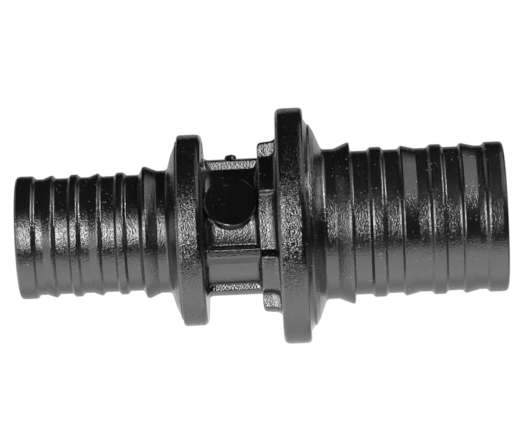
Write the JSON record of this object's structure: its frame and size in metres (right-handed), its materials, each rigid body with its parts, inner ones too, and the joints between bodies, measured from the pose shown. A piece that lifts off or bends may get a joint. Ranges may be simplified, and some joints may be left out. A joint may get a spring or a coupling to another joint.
{
  "type": "reducing pipe coupling",
  "caption": "Moulded straight reducer that joins two sizes of plastic pipe: ribbed spigots, flanges and a lugged waist round one stepped bore.",
  "frame": {"origin": "centre of the large spigot's end face, on the bore's axis", "axes": "+Z along the bore from the large end to the small end; +X towards the broken gate; the marking disc is on the -Y side"},
  "size_m": [0.0334, 0.0334, 0.069],
  "materials": {
    "black_plastic": "satin black, fine eroded grain"
  },
  "bodies": {
    "root": {"coupling_body": "black_plastic"}
  },
  "joints": []
}
